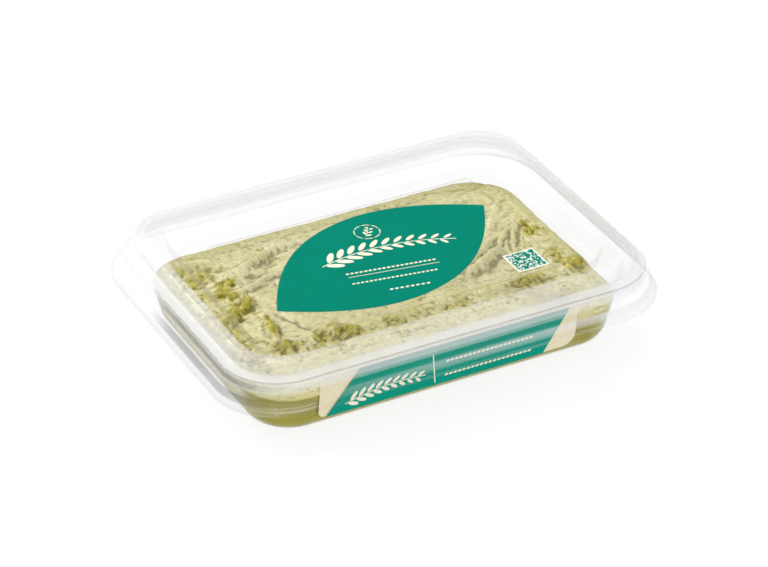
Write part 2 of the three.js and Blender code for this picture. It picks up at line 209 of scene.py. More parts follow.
class Finish:
    """One material, built node by node."""

    def __init__(self, name):
        self.material = bpy.data.materials.new(name)
        self.material.use_nodes = True
        self.tree = self.material.node_tree
        self.tree.nodes.clear()
        self.end = self.tree.nodes.new("ShaderNodeOutputMaterial")

    def node(self, kind, settings=None, sockets=None, output=0):
        made = self.tree.nodes.new(kind)
        for name, setting in (settings or {}).items():
            if name == "stops":
                ramp = made.color_ramp
                while len(ramp.elements) < len(setting):
                    ramp.elements.new(0.5)
                for element, (position, color) in zip(ramp.elements, setting):
                    element.position = position
                    element.color = color
            else:
                setattr(made, name, setting)
        for name, value in (sockets or {}).items():
            if isinstance(value, Value):
                self.tree.links.new(value.socket, made.inputs[name])
            else:
                made.inputs[name].default_value = value
        return None if output is None else Value(self, made.outputs[output])

    def place(self, scale=(1.0, 1.0, 1.0)):
        """The piece's own coordinates, in metres, stretched."""
        own = self.node("ShaderNodeTexCoord", output="Object")
        return self.node("ShaderNodeMapping", None, {"Vector": own, "Scale": scale})

    def noise(self, scale, detail, roughness, vector=None):
        sockets = {"Vector": vector or self.place(), "Scale": scale}
        sockets.update({"Detail": detail, "Roughness": roughness})
        return self.node("ShaderNodeTexNoise", None, sockets)

    def ramp(self, factor, low, high, start=(0, 0, 0, 1), end=(1, 1, 1, 1)):
        """Goes smoothly from one colour to another as the factor passes from low to high."""
        stops = [(low, start), (high, end)]
        return self.node("ShaderNodeValToRGB", {"stops": stops}, {"Fac": factor})

    def blend(self, factor, first, second):
        """A colour between two, by the factor."""
        settings = {"data_type": "RGBA"}
        sockets = {"Factor": factor, 6: first, 7: second}
        return self.node("ShaderNodeMix", settings, sockets, output=2)

    def bump(self, height, strength, distance):
        sockets = {"Height": height, "Strength": strength, "Distance": distance}
        return self.node("ShaderNodeBump", None, sockets)

    def done(self, surface):
        self.tree.links.new(surface.socket, self.end.inputs["Surface"])
        return self.material


def linear(red, green, blue):
    """A colour read as screen values of 0 to 255, as light."""
    shares = [value / 255 for value in (red, green, blue)]
    light = [share / 12.92 if share <= 0.04045 else ((share + 0.055) / 1.055) ** 2.4 for share in shares]
    return (*light, 1.0)


def mirror_share(finish, normal, straight_on):
    """The share of light a clear sheet mirrors: little straight on, more than half at a glance."""
    at_a_glance = 0.6
    aslant = finish.node("ShaderNodeLayerWeight", None, {"Blend": 0.5, "Normal": normal}, "Facing")
    fifth = finish.node("ShaderNodeMath", {"operation": "POWER"}, {0: aslant, 1: 5.0})
    return straight_on + (at_a_glance - straight_on) * fifth


def clear_plastic(name, streak_scale):
    """Thin clear sheet, which mirrors and greys more the more aslant it is seen."""
    finish = Finish(name)
    waves = finish.noise(60.0, 2.0, 0.4)
    drawn = finish.noise(1.0, 3.0, 0.6, finish.place(streak_scale))
    normal = finish.bump(waves, 0.16, 0.6 * mm)
    mirror = mirror_share(finish, normal, 0.004)
    clear = finish.node("ShaderNodeBsdfTransparent", None, {"Color": (0.9955, 0.996, 0.9965, 1.0)})
    # A dark see-through layer: more of it the more aslant the sheet is seen, and, by the attribute,
    # painted dark reflections along folds and edges over a faint tint.
    dark_reflection_layer = finish.node("ShaderNodeBsdfTransparent", None, {"Color": (0.30, 0.30, 0.30, 1.0)})
    grey = finish.node("ShaderNodeAttribute", {"attribute_name": "grey"}, None, "Fac")
    grey = grey * (0.6 + 0.8 * drawn)
    body = finish.node("ShaderNodeMixShader", None, {0: grey + 0.14 * mirror, 1: clear, 2: dark_reflection_layer})
    gloss_sockets = {"Color": (1.0, 1.0, 1.0, 1.0), "Roughness": 0.03, "Normal": normal}
    gloss = finish.node("ShaderNodeBsdfGlossy", None, gloss_sockets)
    sheet_look = finish.node("ShaderNodeMixShader", None, {0: mirror, 1: body, 2: gloss})
    # A white layer, set by the attribute: the sheet's own milkiness, and painted sheen where it stands for
    # reflections of soft light.
    haze_and_sheen_sockets = {"Base Color": linear(234, 235, 237), "Roughness": 0.3, "Specular IOR Level": 0.1}
    milk = finish.node("ShaderNodeBsdfPrincipled", None, haze_and_sheen_sockets)
    haze_and_sheen_share = finish.node("ShaderNodeAttribute", {"attribute_name": "milk"}, None, "Fac")
    haze_and_sheen_share = haze_and_sheen_share * (0.7 + 0.6 * drawn)
    surface = finish.node("ShaderNodeMixShader", None, {0: haze_and_sheen_share, 1: sheet_look, 2: milk})
    return finish.done(surface)


def tub_looks(way, x, y, facing):
    """Clear walls, and a rim that is a little hazy where it was pressed flat."""
    milk = np.interp(way, [1.9, 2.0, 3.0, 3.1], [0.0, 0.12, 0.12, 0.02])
    return milk, np.full(len(way), 0.003)


rim_fillet = 1.2 * mm
lip_fillet = 0.4 * mm
fillet_z = rim_underside_z - rim_fillet
tub_parts = [
    arc(base_flat_half_x, base_radius, base_radius, -90, -lean_deg, 14),
    arc(wall_x(fillet_z) + rim_fillet, fillet_z, rim_fillet, 180 - lean_deg, 90, 6),
    arc(lip_half_x - lip_fillet, rim_underside_z - lip_fillet, lip_fillet, 90, 0, 3),
    [(lip_half_x, lip_bottom_z)],
]
tub_outside = sum(tub_parts, [])
tub_way = np.concatenate([np.linspace(i, i + 0.9, len(part)) for i, part in enumerate(tub_parts)])
tub_inside = offset_path(tub_outside, sheet)
tub_shell = formed_sheet("tub_shell", tub_inside, sheet, tub_corner, tub_way, tub_looks)
tub_shell.data.materials.append(clear_plastic("tub_plastic", (20.0, 20.0, 60.0)))
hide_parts("tub")
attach(tub_shell, "root")

# Hummus
# Herb-green chickpea paste, pressed into the tub and worked with a knife: a low scraped strip in front,
# a crest behind it, strokes that run with the blade, and torn places that stand in moist crumbs.
level = 19.0
plateau_rise = 0.9
crest_y = -22.0
crest_rise = 1.5
crest_sway = 1.6
crest_wobble = 1.2
crest_face_width = 7.0
crest_fade = 9.0
crest_left_end = -66.0
crest_left_run = 24.0
crest_torn_share = 0.12
patch_torn_share = 0.45
crumb_size = 2.6
small_crumb_size = 1.4
crumb_sink = 1.1
lump_rise = 0.24
small_lump_rise = 0.12
drag_rise = 0.14
grain_rise = 0.11
wall_gap = sheet + 0.1 * mm
top_cells_x = 336
top_cells_y = 238

# Each stroke in millimetres: middle, direction, length, half width, rise and bend to one side
strokes = [
    (-35, 45, 23, 36, 2.8, 2.7, 3),
    (-40, 35, 35, 30, 4.5, -1.8, 0),
    (-46, 25, 19, 24, 2.6, 2.3, -1),
    (-64, 49, -33, 20, 3.2, -2.7, 0),
    (-61, 53, -30, 18, 2.2, 0.9, 0),
    (-45, -11, -63, 24, 1.8, -1.6, 1),
    (-39, -11, -58, 20, 3.2, 0.7, 1),
    (47, -6, 22, 26, 3.4, 3.9, -2),
    (51, 2, 30, 22, 2.4, -3.3, 0),
    (57, 8, 35, 22, 3.0, 1.7, 0),
    (68, 12, 36, 26, 1.8, 2.2, 1.5),
    (69, 4, 62, 18, 4.5, -1.4, 0),
    (64, 4, 66, 13, 1.1, 0.8, 0.5),
    (68, 5, 62, 13, 1.1, 0.8, 0.5),
    (72, 6, 60, 13, 1.0, 0.7, 0.5),
    (71, 10.5, 52, 15, 1.9, 1.9, 0.6),
    (66, 22, 40, 32, 2.2, 0.8, 1),
    (72, 31, 52, 28, 2.0, 0.8, 1),
    (60, 50, -32, 34, 4.5, 0.9, -2),
    (35, -8, 60, 9, 2.2, -1.6, 0),
    (5, 57, 0, 150, 3.5, -0.9, 0),
    (0, -36, 0, 150, 6.0, -0.4, 0),
]

# Each torn place in millimetres: middle, direction, half length, half width and rise
crags = [
    (-63, 10, 42, 12, 5.0, 3.8),
    (-57, -8, 80, 9, 3.2, 2.4),
    (-31, -24, -40, 8, 3.8, 2.6),
    (-60, 31, 20, 7, 5.0, 2.0),
    (-64, 23, -20, 9, 4.0, 1.8),
    (-68, 39, 30, 9, 5.0, 1.5),
    (-57, -24, 0, 7, 4.5, 2.2),
    (-41, -22, 60, 6, 3.5, 2.0),
    (12, -26, 0, 34, 3.8, 0.6),
    (48, -2, 26, 12, 4.0, 0.5),
    (58, -26, 0, 10, 4.2, 1.6),
    (78, 12, 80, 8, 3.4, 2.3),
    (77, -13, 80, 8, 3.6, 1.6),
    (82, -24, 60, 7, 4.0, 1.3),
    (-76, -8, 90, 30, 5.0, 1.6),
    (-70, 47, -35, 9, 3.5, 1.5),
]


def cell_value(column, row, seed):
    """A fixed random value from -1 to 1 for a cell of a lattice."""
    value = np.sin(column * 127.1 + row * 311.7 + seed * 74.7) * 43758.5453
    return 2.0 * (value - np.floor(value)) - 1.0


def noise_field(x, y, seed):
    """Smooth random values from -1 to 1 over a lattice of unit cells."""
    column = np.floor(x)
    row = np.floor(y)
    share_x = smoothstep(x - column)
    share_y = smoothstep(y - row)
    near = cell_value(column, row, seed) * (1 - share_x) + cell_value(column + 1, row, seed) * share_x
    far = cell_value(column, row + 1, seed) * (1 - share_x)
    far = far + cell_value(column + 1, row + 1, seed) * share_x
    return near * (1 - share_y) + far * share_y


def crumb_field(x, y, size, seed):
    """Heights of round crumbs that lie scattered in a lattice of cells of that size."""
    column = np.floor(x / size)
    row = np.floor(y / size)
    height = np.zeros_like(x)
    for step_x in (-1, 0, 1):
        for step_y in (-1, 0, 1):
            cell_x = column + step_x
            cell_y = row + step_y
            centre_x = (cell_x + 0.5 + 0.42 * cell_value(cell_x, cell_y, seed)) * size
            centre_y = (cell_y + 0.5 + 0.42 * cell_value(cell_x, cell_y, seed + 1)) * size
            radius = size * (0.55 + 0.28 * cell_value(cell_x, cell_y, seed + 2))
            gap = (x - centre_x) ** 2 + (y - centre_y) ** 2
            height = np.maximum(height, np.sqrt(np.maximum(radius * radius - gap, 0.0)))
    return height


def seen_from(x, y, middle_x, middle_y, turn_deg):
    """A place measured along and across a stroke from the stroke's middle."""
    cos = math.cos(math.radians(turn_deg))
    sin = math.sin(math.radians(turn_deg))
    along = (x - middle_x) * cos + (y - middle_y) * sin
    across = (y - middle_y) * cos - (x - middle_x) * sin
    return along, across


def hummus_top(x, y):
    """Height in millimetres over a place in millimetres, and how torn the paste is there."""
    warp_x = x + 1.0 * noise_field(x / 5.0, y / 5.0, 21) + 0.5 * noise_field(x / 1.8, y / 1.8, 23)
    warp_y = y + 1.0 * noise_field(x / 5.0, y / 5.0, 22) + 0.5 * noise_field(x / 1.8, y / 1.8, 24)
    line = crest_y + crest_sway * np.sin(x / 13) + crest_wobble * noise_field(x / 6, 0 * x, 3)
    behind = warp_y - line
    face = smoothstep(behind / crest_face_width + 0.75)
    back = plateau_rise + (crest_rise - plateau_rise) * np.exp(-np.maximum(behind, 0.0) / crest_fade)
    left_end = smoothstep((x - crest_left_end) / crest_left_run)
    height = level + face * (plateau_rise + (back - plateau_rise) * left_end)
    height += 0.6 * noise_field(x / 17, y / 17, 1) + 0.25 * noise_field(x / 6, y / 6, 2)
    for middle_x, middle_y, turn, length, width, rise, bend in strokes:
        along, across = seen_from(warp_x, warp_y, middle_x, middle_y, turn)
        share = 2 * along / length
        side = (across + bend * share * share) / width
        side = np.where(side < 0, 1.6 * side, side)
        height += rise * np.exp(-share**4) * np.exp(-side * side)
    torn = np.exp(-(((behind + 2.5) / 3.2) ** 2)) * crest_torn_share
    for middle_x, middle_y, turn, half_length, half_width, rise in crags:
        along, across = seen_from(warp_x, warp_y, middle_x, middle_y, turn)
        reach = (along / half_length) ** 2 + (across / half_width) ** 2
        crumbs = 0.55 + 0.75 * noise_field(x / 3.6, y / 3.6, 7) + 0.35 * noise_field(x / 2.1, y / 2.1, 11)
        fall = np.exp(-reach * reach)
        height += rise * fall * crumbs
        torn = np.maximum(torn, fall * min(1.0, rise / 2.2))
    patches = noise_field(x / 9, y / 9, 31) + 0.6 * noise_field(x / 4, y / 4, 32)
    torn = np.clip(torn + patch_torn_share * smoothstep((patches - 0.2) / 0.6), 0.0, 1.0)
    broken = 0.85 * crumb_field(warp_x, warp_y, crumb_size, 41)
    broken = broken + 0.6 * crumb_field(x, y, small_crumb_size, 51)
    height += torn * (broken - crumb_sink)
    lumps = lump_rise * noise_field(x / 3.1, y / 3.1, 63)
    lumps = lumps + small_lump_rise * noise_field(x / 1.7, y / 1.7, 64)
    grain = grain_rise * noise_field(x / 1.1, y / 1.1, 61)
    drag = drag_rise * noise_field(x / 14, y / 1.3, 71)
    height += (lumps + drag) * (1 - 0.6 * torn) + grain
    return height, torn


def rounded_place(u, v, half_x, half_y, radius):
    """A point of the unit square moved to the rounded rectangle of the same middle."""
    reach = np.maximum(np.maximum(np.abs(u), np.abs(v)), 1e-9)
    x = np.abs(u) / reach * half_x
    y = np.abs(v) / reach * half_y
    corner_x = x - (half_x - radius)
    corner_y = y - (half_y - radius)
    inside = (corner_x > 0) & (corner_y > 0)
    shrink = radius / np.maximum(np.hypot(corner_x, corner_y), 1e-9)
    x = np.where(inside, half_x - radius + corner_x * shrink, x)
    y = np.where(inside, half_y - radius + corner_y * shrink, y)
    return np.sign(u) * reach * x, np.sign(v) * reach * y


def hummus_place(u, v, half_x, z):
    """Points of the paste at a height, where it reaches that far out, from the unit square."""
    x, y = rounded_place(u, v, half_x, half_x - side_difference(z), tub_corner(half_x))
    return np.column_stack([x, y, np.broadcast_to(z, x.shape)])


grid_u, grid_v = np.meshgrid(
    np.linspace(-1, 1, top_cells_x + 1), np.linspace(-1, 1, top_cells_y + 1), indexing="ij"
)
u = grid_u.ravel()
v = grid_v.ravel()
top_half_x = wall_x(level * mm) - wall_gap
top = hummus_place(u, v, top_half_x, level * mm)
heights, torn = hummus_top(top[:, 0] / mm, top[:, 1] / mm)
to_wall = (1 - np.maximum(np.abs(u), np.abs(v))) * top_half_x / mm
calm_width = 4.0
calm_share = 0.45
heights = level + (heights - level) * (calm_share + (1 - calm_share) * smoothstep(to_wall / calm_width))
top[:, 2] = heights * mm
edge = to_wall < 1e-6
top[edge] = hummus_place(u[edge], v[edge], wall_x(top[edge, 2]) - wall_gap, top[edge, 2])

column = top_cells_y + 1
index = np.arange((top_cells_x + 1) * column).reshape(top_cells_x + 1, column)
faces = np.stack([index[:-1, :-1], index[1:, :-1], index[1:, 1:], index[:-1, 1:]], axis=-1).reshape(-1, 4)
border = np.concatenate([index[:-1, 0], index[-1, :-1], index[:0:-1, -1], index[0, :0:-1]])
points = [top]
sides = []
above = border
count = len(top)
wall_stations = [(wall_x(z) - wall_gap, z) for z in np.linspace(0.9, 0.55, 3) * level * mm]
round_stations = arc(base_flat_half_x, base_radius, base_radius - wall_gap, -lean_deg, -90, 10)
for half_x, z in wall_stations + round_stations:
    points.append(hummus_place(u[border], v[border], half_x, z))
    below = count + np.arange(len(border))
    count += len(border)
    sides.append(np.stack([below, np.roll(below, -1), np.roll(above, -1), above], axis=-1))
    above = below
vertices = np.vstack(points)
quads = np.vstack([faces] + sides).tolist()
mesh = bpy.data.meshes.new("hummus_paste")
mesh.from_pydata(vertices.tolist(), [], quads + [above[::-1].tolist()])
mesh.shade_smooth()

# How smeared the paste is against the wall: all of its side, and the edge of its top, less so at the
# far sides, with a faint smear further in
near_edge_width = 2.4
far_edge_width = 1.0
far_edge_share = 0.55
smear_width = 12.0
smear_share = 0.32
far_side = smoothstep(np.maximum(u, v) / 0.9)
edge_width = near_edge_width + (far_edge_width - near_edge_width) * far_side
edge_share = 1.0 + (far_edge_share - 1.0) * far_side
pressed_edge = (1.0 - smoothstep(to_wall / edge_width)) * edge_share
pressed_near = smear_share * (1.0 - smoothstep(to_wall / smear_width))
pressed_values = np.ones(len(vertices), dtype=np.float32)
pressed_values[: len(top)] = np.maximum(pressed_edge, pressed_near)
pressed_store = mesh.attributes.new("pressed", "FLOAT", "POINT")
pressed_store.data.foreach_set("value", pressed_values)
torn_store = mesh.attributes.new("torn", "FLOAT", "POINT")
torn_values = np.zeros(len(vertices), dtype=np.float32)
torn_values[: len(top)] = torn
torn_store.data.foreach_set("value", torn_values)

# How far a place lies below the paste round it. The paste's colour darkens there towards dark olive:
# partly painted shade in the hollows, partly the moist paste's own green.
hollow_range = 1.1
window = 5
height_grid = heights.reshape(top_cells_x + 1, column)
rows, columns = height_grid.shape
around = height_grid
for smoothing in range(2):
    padded = np.pad(around, window // 2, mode="edge")
    shifts = [(down, along) for down in range(window) for along in range(window)]
    moved = [padded[down : down + rows, along : along + columns] for down, along in shifts]
    around = sum(moved) / len(shifts)
hollow_values = np.zeros(len(vertices), dtype=np.float32)
hollow_values[: len(top)] = np.clip(0.5 + (around - height_grid).ravel() / hollow_range, 0.0, 1.0)
hollow_store = mesh.attributes.new("hollow", "FLOAT", "POINT")
hollow_store.data.foreach_set("value", hollow_values)

paste = Finish("hummus_paste")
torn_share = paste.node("ShaderNodeAttribute", {"attribute_name": "torn"}, None, "Fac")
hollow_share = paste.node("ShaderNodeAttribute", {"attribute_name": "hollow"}, None, "Fac")
patch_noise = paste.noise(70.0, 4.0, 0.6)
fine_noise = paste.noise(520.0, 3.0, 0.6)
grit_noise = paste.noise(1500.0, 2.0, 0.6)
pale = paste.blend(paste.ramp(patch_noise, 0.35, 0.65), linear(229, 223, 184), linear(210, 203, 148))
pale = paste.blend(paste.ramp(fine_noise, 0.35, 0.8), pale, linear(194, 186, 124))
green = paste.blend(paste.ramp(fine_noise, 0.35, 0.65), linear(196, 186, 90), linear(164, 154, 48))
# Painted shade: where the paste lies below the paste round it, its colour darkens towards dark olive.
hollow_shade = paste.ramp(hollow_share + 0.10 * (fine_noise - 0.5), 0.5, 0.8)
torn_look = paste.ramp(torn_share + 0.5 * (patch_noise - 0.5), 0.2, 0.8)
color = paste.blend(torn_look, pale, green)
color = paste.blend(hollow_shade * 0.75, color, linear(108, 99, 24))
pressed_share = paste.node("ShaderNodeAttribute", {"attribute_name": "pressed"}, None, "Fac")
smeared = paste.blend(patch_noise, linear(162, 154, 40), linear(128, 121, 16))
color = paste.blend(pressed_share, color, smeared)
fleck_sockets = {"Vector": paste.place(), "Scale": 330.0}
fleck_cell = paste.node("ShaderNodeTexVoronoi", None, fleck_sockets, "Distance")
fleck_pick = paste.noise(230.0, 1.0, 0.5)
fleck = paste.ramp(fleck_cell, 0.12, 0.26, (1, 1, 1, 1), (0, 0, 0, 1)) * (fleck_pick > 0.6)
color = paste.blend(fleck * 0.7, color, linear(96, 98, 34))
relief = paste.bump(fine_noise + 0.5 * grit_noise, 0.75, 0.45 * mm)
wet = paste.ramp(paste.noise(160.0, 3.0, 0.6), 0.35, 0.7, (0.6, 0.6, 0.6, 1), (0.2, 0.2, 0.2, 1))
paste_sockets = {"Base Color": color, "Roughness": wet, "Normal": relief, "Specular IOR Level": 0.4}
paste_surface = paste.node("ShaderNodeBsdfPrincipled", None, paste_sockets)
mesh.materials.append(paste.done(paste_surface))
hummus_piece = bpy.data.objects.new("hummus_paste", mesh)
bpy.context.scene.collection.objects.link(hummus_piece)
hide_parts("hummus")
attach(hummus_piece, "root")

# Lid
# A clear formed lid pressed over the tub's rim: a sunk panel, a raised flat-topped rim, a ledge, and
# a skirt that creases and flares to a thick flange. It is only pressed on, so it rides with the tub.
lid_low, lid_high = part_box("lid")
panel_half_x = 78.0 * mm
panel_z = 33.9 * mm
rim_top_z = lid_high.z
rim_inner_half_x = 82.9 * mm
rim_outer_half_x = 93.1 * mm
rim_corner_radius = 20.4 * mm
ledge_z = 36.7 * mm
ledge_half_x = 98.3 * mm
crease_half_x = 98.9 * mm
crease_z = 30.8 * mm
flange_half_x = lid_high.x
flange_z = 24.4 * mm
flange_bottom_z = lid_low.z
panel_fillet = 1.5 * mm
rim_round = 1.6 * mm
shoulder_round = 2.2 * mm
foot_fillet = 1.0 * mm
ledge_round = 0.8 * mm


def lid_corner(half_x):
    """Radius of the lid's corner where it reaches that far out."""
    beyond = half_x - rim_outer_half_x
    return rim_corner_radius + beyond * np.where(beyond > 0.0, 1.0, 0.5)


inner_wall_run = rim_inner_half_x - rim_round - panel_half_x - panel_fillet
inner_wall_rise = rim_top_z - rim_round - panel_z - panel_fillet
inner_lean = math.degrees(math.atan2(inner_wall_run, inner_wall_rise))
shoulder_x = rim_outer_half_x - shoulder_round
foot_x = rim_outer_half_x + foot_fillet + 0.2 * mm
rim_middle_x = (rim_inner_half_x + shoulder_x) / 2 + rim_round


def skirt_part(start, end, steps):
    """A straight run of the skirt's section in even steps."""
    return [tuple(place) for place in np.linspace(start, end, steps + 1).tolist()]


lid_parts = [
    arc(panel_half_x, panel_z + panel_fillet, panel_fillet, -90, -inner_lean, 7),
    arc(rim_inner_half_x, rim_top_z - rim_round, rim_round, 180 - inner_lean, 90, 8),
    [(rim_middle_x - rim_round / 4, rim_top_z), (rim_middle_x + rim_round / 4, rim_top_z)],
    arc(shoulder_x, rim_top_z - shoulder_round, shoulder_round, 90, 2, 10),
    arc(foot_x, ledge_z + foot_fillet, foot_fillet, 182, 270, 6),
    arc(ledge_half_x - ledge_round, ledge_z - ledge_round, ledge_round, 90, 6, 6),
    skirt_part((ledge_half_x, ledge_z - ledge_round), (crease_half_x, crease_z), 12)[1:-1],
    skirt_part((crease_half_x, crease_z), (flange_half_x, flange_z), 20),
    [(flange_half_x, flange_bottom_z)],
]
lid_top = sum(lid_parts, [])
lid_way = np.concatenate([np.linspace(i, i + 0.95, len(part)) for i, part in enumerate(lid_parts)])


def lid_looks(way, x, y, facing):
    """The formed lid's milkiness with painted sheen, and its painted dark reflections, along its way from
    the panel to the flange.

    A whole number starts each part: 1 and 2 rim top, 3 shoulder, 4 foot and ledge, 5 ledge edge,
    6 upright skirt, 7 flared skirt, 8 flange.
    """
    # The white layer by side: strongest on the front and left, where it is painted sheen for reflections
    # of soft front-left light, and faint on the right and back.
    bends = [0, 1.95, 2.0, 2.9, 3.0, 3.9, 4.0, 4.4, 4.9, 5.0, 5.3, 5.6, 5.9]
    front = [0, 0.01, 0.01, 0.14, 0.15, 0.15, 0.2, 0.42, 0.43, 0.43, 0.25, 0.12, 0.30]
    left = [0, 0.01, 0.01, 0.22, 0.24, 0.25, 0.27, 0.36, 0.38, 0.36, 0.14, 0.05, 0.08]
    clear = [0, 0.02, 0.06, 0.12, 0.12, 0.12, 0.12, 0.14, 0.14, 0.14, 0.10, 0.06, 0.06]
    skirt_bends = [6.0, 6.1, 6.2, 6.35, 6.45, 6.6, 6.7, 6.8, 6.9, 6.95, 7.02]
    skirt_front = [0.45, 0.40, 0.22, 0.20, 0.17, 0.21, 0.19, 0.12, 0.13, 0.16, 0.01]
    skirt_left = [0.10, 0.04, 0.02, 0.02, 0.02, 0.04, 0.10, 0.22, 0.10, 0.05, 0.02]
    skirt_clear = [0.02] * len(skirt_bends)
    flare_bends = [7.05, 7.27, 7.33, 7.38, 7.55, 7.70, 7.74, 7.77, 7.88, 7.93, 7.95, 8.0]
    # Along the front flare the white layer grows towards the right: painted sheen.
    flare_haze_and_sheen_across = np.interp(x, [-95, -70, -50, -10, 25, 62, 85], [0.3, 0.1, 0.5, 1.0, 1.4, 2.1, 2.3])
    flare_front = [0.0, 0.01, 0.10, 0.16, 0.13, 0.07, 0.05, 0.0, 0.0, 0.02, 0.03, 0.04]
    flare_left = [0.05, 0.02, 0.01, 0.01, 0.01, 0.02, 0.10, 0.04, 0.02, 0.12, 0.20, 0.25]
    flare_clear = [0.02] * (len(flare_bends) - 2) + [0.06, 0.10]

    def round_sides(places, on_left, on_front, elsewhere, front_share=1.0):
        far_side = np.interp(way, places, elsewhere)
        near_side = np.interp(way, places, on_front) * front_share
        return by_side(facing, np.interp(way, places, on_left), near_side, far_side, far_side)

    upper = round_sides(bends, left, front, clear)
    skirt = round_sides(skirt_bends, skirt_left, skirt_front, skirt_clear)
    flared = round_sides(flare_bends, flare_left, flare_front, flare_clear, flare_haze_and_sheen_across)
    # Painted highlight lines along the flare, beside the front label.
    past_label = 1.0 - smoothstep((x + 76.0) / 14.0) + smoothstep((x - 60.0) / 10.0)
    line_bends = [7.57, 7.6, 7.65, 7.68, 7.74, 7.77, 7.84, 7.88]
    lines = np.interp(way, line_bends, [0.0, 0.12, 0.12, 0.0, 0.0, 0.16, 0.16, 0.0])
    flared = flared + by_side(facing, 0.0, past_label, 0.5, 0.0) * lines
    milk = np.where(way < 6.0, upper, np.where(way < 7.04, skirt, flared))
    # Painted dark reflections: a line along the ledge's edge, most in front, and a band and a patch on the
    # skirt's left and right sides towards the front.
    near = 1.0 - smoothstep((y + 5.0) / 25.0)
    edge_line = np.interp(way, [5.1, 5.35, 5.6, 5.9], [0.0, 0.30, 0.30, 0.0])
    grey = by_side(facing, 0.4 * near, 1.0, 0.5 * near, 0.1) * edge_line
    dark_band = np.interp(way, [6.0, 6.15, 6.6, 6.72], [0.02, 0.34, 0.34, 0.02])
    patch = np.interp(way, [7.2, 7.27, 7.6, 7.68], [0.0, 0.36, 0.32, 0.0])
    dark = near * (dark_band + patch)
    grey = grey + by_side(facing, dark, 0.0, 0.35 * dark, 0.0)
    # A painted dark line along the flange, most on the left and right.
    flange_line = np.interp(way, [7.6, 7.9, 8.0], [0.0, 0.06, 0.12])
    return milk, grey + by_side(facing, 1.0, 0.2, 1.6, 0.1) * flange_line + 0.003


lid_shell = formed_sheet("lid_shell", lid_top, sheet, lid_corner, lid_way, lid_looks)
lid_shell.data.materials.append(clear_plastic("lid_plastic", (20.0, 20.0, 60.0)))
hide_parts("lid")
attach(lid_shell, "root")

# Film and its print
# Clear film stuck across the lid's panel, with a teal field of a plain leaf's outline printed on it.
# On the field lie a cream sprig, a small ring, rows of dots and a thin line, as a second print.
film_half_x = 64.2 * mm
film_half_y = 41.3 * mm
film_edge = 0.35 * mm
film_finish = Finish("film")
film_waves = film_finish.bump(film_finish.noise(40.0, 2.0, 0.4), 0.15, 0.4 * mm)
film_mirror = 0.15 * mirror_share(film_finish, film_waves, 0.02)
film_clear = film_finish.node("ShaderNodeBsdfTransparent", None, {"Color": (0.99, 0.99, 0.985, 1.0)})
film_dark = film_finish.node("ShaderNodeBsdfTransparent", None, {"Color": (0.45, 0.44, 0.40, 1.0)})
film_reach = film_finish.node("ShaderNodeVectorMath", {"operation": "ABSOLUTE"}, {0: film_finish.place()})
film_sides = film_finish.node("ShaderNodeSeparateXYZ", None, {"Vector": film_reach}, "X")
film_past_x = film_sides > film_half_x - film_edge
film_past_y = film_sides.other("Y") > film_half_y - film_edge
film_rim = film_finish.node("ShaderNodeMath", {"operation": "MAXIMUM"}, {0: film_past_x, 1: film_past_y})
film_mix = {0: 0.22 * film_rim, 1: film_clear, 2: film_dark}
film_body = film_finish.node("ShaderNodeMixShader", None, film_mix)
film_gloss_sockets = {"Color": (1.0, 1.0, 1.0, 1.0), "Roughness": 0.12, "Normal": film_waves}
film_gloss = film_finish.node("ShaderNodeBsdfGlossy", None, film_gloss_sockets)
film_look = film_finish.node("ShaderNodeMixShader", None, {0: film_mirror, 1: film_body, 2: film_gloss})
film_milk_sockets = {"Base Color": linear(212, 207, 194), "Roughness": 0.3, "Specular IOR Level": 0.1}
film_milk = film_finish.node("ShaderNodeBsdfPrincipled", None, film_milk_sockets)
film_haze = 0.03 + 0.05 * film_finish.noise(45.0, 3.0, 0.6)
film_surface = film_finish.node("ShaderNodeMixShader", None, {0: film_haze, 1: film_look, 2: film_milk})
film_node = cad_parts["lid_film"]
film_node.data.materials.clear()
film_node.data.materials.append(film_finish.done(film_surface))


def ink(name, color, darker, roughness):
    """Printed ink on film or paper: nearly even, with faint clouding and a satin skin."""
    finish = Finish(name)
    cloud = finish.noise(90.0, 4.0, 0.6)
    shade = finish.blend(finish.ramp(cloud, 0.3, 0.7), linear(*color), linear(*darker))
    skin = finish.bump(finish.noise(1400.0, 2.0, 0.5), 0.08, 0.05 * mm)
    sheen = roughness + 0.08 * finish.noise(260.0, 3.0, 0.6)
    sockets = {"Base Color": shade, "Roughness": sheen, "Normal": skin, "Specular IOR Level": 0.04}
    return finish.done(finish.node("ShaderNodeBsdfPrincipled", None, sockets))


leaf_teal = ink("leaf_teal", (0, 124, 104), (0, 120, 100), 0.5)
# The front band's teal is a lighter copy of the leaf's teal: painted light on the front label.
band_teal = ink("band_teal", (0, 143, 121), (0, 138, 116), 0.5)
cream = ink("cream_print", (232, 228, 206), (226, 221, 198), 0.45)
for name, teal in (("leaf_print", leaf_teal), ("label_band", band_teal)):
    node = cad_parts[name]
    node.data.materials.clear()
    node.data.materials.append(teal)
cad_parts["leaf_print"].visible_shadow = False
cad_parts["leaf_print"].visible_diffuse = False


class Layout(Finish):
    """A tree that lays printed marks along a bent path, built with the same node-making method."""

    def __init__(self, name):
        self.tree = bpy.data.node_groups.new(name, "GeometryNodeTree")

    def ask(self, name, kind, way="INPUT"):
        self.tree.interface.new_socket(name, in_out=way, socket_type="NodeSocket" + kind)


